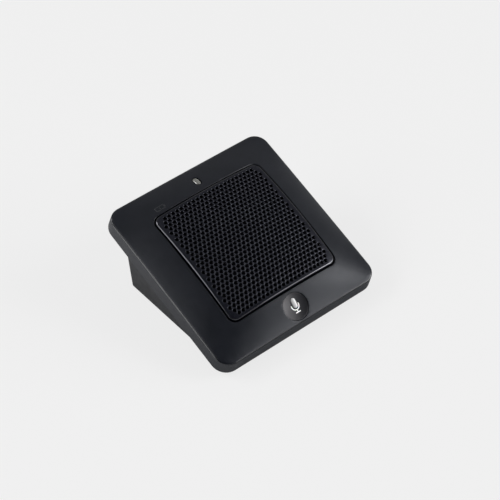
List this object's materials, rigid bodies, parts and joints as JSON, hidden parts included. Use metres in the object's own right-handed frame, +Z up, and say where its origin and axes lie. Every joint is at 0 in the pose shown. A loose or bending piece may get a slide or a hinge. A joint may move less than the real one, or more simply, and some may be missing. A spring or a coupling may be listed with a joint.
{
  "type": "desk microphone",
  "caption": "Wireless wedge-shaped desk microphone with a square tilted top, domed perforated grille and round mute button.",
  "frame": {"origin": "on the table, under the middle of the outline", "axes": "+Z up, +X to the right of someone facing the button, +Y from the low front to the high back"},
  "size_m": [0.0666, 0.065, 0.032],
  "materials": {
    "shell_black": "fine satin texture",
    "grille_black": "satin powder coat",
    "button_black": "soft satin",
    "symbol_white": "translucent white",
    "light_diffuser": "frosted",
    "rubber_black": "matte",
    "foam_black": "open cell foam",
    "board_green": "solder mask",
    "chip_black": "moulded epoxy",
    "part_tan": "ceramic",
    "screw_steel": "zinc plated",
    "tin_sheet": "tinned",
    "contact_gold": "gold plated",
    "cell_wrap": "shrink film",
    "switch_black": "moulded",
    "lamp_clear": "clear epoxy"
  },
  "bodies": {
    "housing": {"top_cover": "shell_black", "base_housing": "shell_black", "bottom_plate": "shell_black", "battery_tray": "shell_black", "grille": "grille_black", "grille_gasket": "foam_black", "grille_foam": "foam_black", "battery_icon": "symbol_white", "status_light_pipe": "light_diffuser", "status_led": "lamp_clear", "icon_leds": "lamp_clear", "switch_body": "switch_black", "rubber_feet": "rubber_black", "capsule_boot": "rubber_black", "mic_capsule": "tin_sheet", "radio_shield": "tin_sheet", "antenna": "tin_sheet", "main_board": "board_green", "charge_board": "board_green", "radio_chip": "chip_black", "processor_chip": "chip_black", "audio_chip": "chip_black", "small_board_parts": "part_tan", "battery_cell": "cell_wrap", "battery_pad": "foam_black", "battery_tabs": "tin_sheet", "contact_block": "switch_black", "charge_contacts": "contact_gold", "cover_screws": "screw_steel", "board_screws": "screw_steel", "tray_screws": "screw_steel", "base_screws": "screw_steel"},
    "button": {"mute_button": "button_black", "icon_light_guide": "symbol_white", "switch_plunger": "switch_black"}
  },
  "joints": [
    {"name": "mute_press", "type": "slide", "parent": "housing", "child": "button", "axis": [0, 0.3654, -0.9309], "range_m": [0, 0.0004], "stiffness_N_per_m": 4000}
  ]
}
